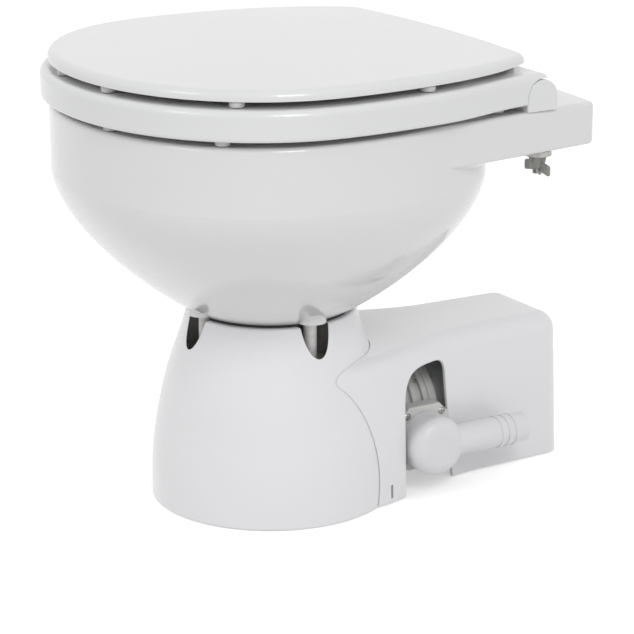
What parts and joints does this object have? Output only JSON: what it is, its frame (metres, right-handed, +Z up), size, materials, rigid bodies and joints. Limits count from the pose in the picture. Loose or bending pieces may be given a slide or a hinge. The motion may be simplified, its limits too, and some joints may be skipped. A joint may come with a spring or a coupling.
{
  "type": "electric marine toilet",
  "caption": "Boat toilet: china bowl with seat and lid on a bell-shaped pedestal, with a macerator pump and its motor under a moulded cover behind it.",
  "frame": {"origin": "on the floor, under the middle of the pedestal, at the centre of its circle of floor bolts", "axes": "+Z up; the toilet faces -Y, so the motor cover lies towards +Y; +X is the toilet's own left-hand side, where the discharge leaves"},
  "size_m": [0.353, 0.4444, 0.378],
  "materials": {
    "china": "clear gloss glaze over white china",
    "pedestal_plastic": "gloss white",
    "cover_plastic": "satin to gloss white",
    "seat_plastic": "gloss white",
    "bumper_rubber": "soft white",
    "wing_nut_plastic": "pale nylon",
    "sleeve_plastic": "pale nylon",
    "black_rubber": "matt black",
    "pump_plastic": "pale grey, moulded",
    "elbow_plastic": "white, moulded",
    "duct_plastic": "dark grey, moulded",
    "steel": "stainless",
    "motor_paint": "pale grey paint",
    "magnet": "ferrite",
    "core_steel": "laminated",
    "copper": "copper",
    "carbon": "carbon",
    "impeller_plastic": "black nylon",
    "cradle_metal": "grey paint"
  },
  "bodies": {
    "base": {"pedestal": "pedestal_plastic", "bowl_gasket": "black_rubber", "bowl_studs": "steel", "bolt_sleeves": "sleeve_plastic", "bowl_washers": "steel", "bowl_nuts": "steel", "bowl": "china", "hinge_post_right": "seat_plastic", "hinge_post_left": "seat_plastic", "hinge_studs": "steel", "hinge_washers": "black_rubber", "wing_nuts": "wing_nut_plastic", "waste_duct": "duct_plastic", "duct_seal": "black_rubber", "pump_housing": "pump_plastic", "wear_plate": "steel", "seal_plate": "pump_plastic", "shaft_seal": "black_rubber", "pump_screws": "steel", "motor_can": "motor_paint", "motor_end_cap": "motor_paint", "tie_bolts": "steel", "motor_bearings": "steel", "magnets": "magnet", "brush_plate": "impeller_plastic", "brushes": "carbon", "motor_cradle": "cradle_metal", "cradle_pads": "black_rubber", "discharge_flange": "pump_plastic", "flange_screws": "steel", "joker_valve": "black_rubber", "motor_cover": "cover_plastic", "cover_screws": "steel", "lead_grommet": "black_rubber", "rinse_grommet": "black_rubber"},
    "seat_body": {"seat": "seat_plastic", "seat_bumpers": "bumper_rubber", "hinge_pins": "steel"},
    "lid_body": {"lid": "seat_plastic", "lid_bumpers": "bumper_rubber"},
    "rotor": {"motor_shaft": "steel", "armature_core": "core_steel", "windings": "copper", "commutator": "copper", "impeller": "impeller_plastic", "chopper_blade": "steel", "blade_nut": "steel"},
    "discharge_elbow_body": {"discharge_elbow": "elbow_plastic"},
    "rinse_elbow_body": {"rinse_elbow": "elbow_plastic"}
  },
  "joints": [
    {"name": "seat_hinge", "type": "hinge", "parent": "base", "child": "seat_body", "pos_m": [0, 0.16, 0.342], "axis": [-1, 0, 0], "range_deg": [0, 95]},
    {"name": "lid_hinge", "type": "hinge", "parent": "seat_body", "child": "lid_body", "pos_m": [0, 0.16, 0.342], "axis": [1, 0, 0], "range_deg": [-95, 0]},
    {"name": "rotor_spin", "type": "hinge", "parent": "base", "child": "rotor", "pos_m": [0, 0.15, 0.052], "axis": [0, 1, 0], "continuous": true},
    {"name": "discharge_swivel", "type": "hinge", "parent": "base", "child": "discharge_elbow_body", "pos_m": [0.07, 0.111, 0.041], "axis": [1, 0, 0], "range_deg": [-15, 45]},
    {"name": "rinse_swivel", "type": "hinge", "parent": "base", "child": "rinse_elbow_body", "pos_m": [0, 0.18, 0.269], "axis": [0, 1, 0], "range_deg": [-90, 90]}
  ]
}
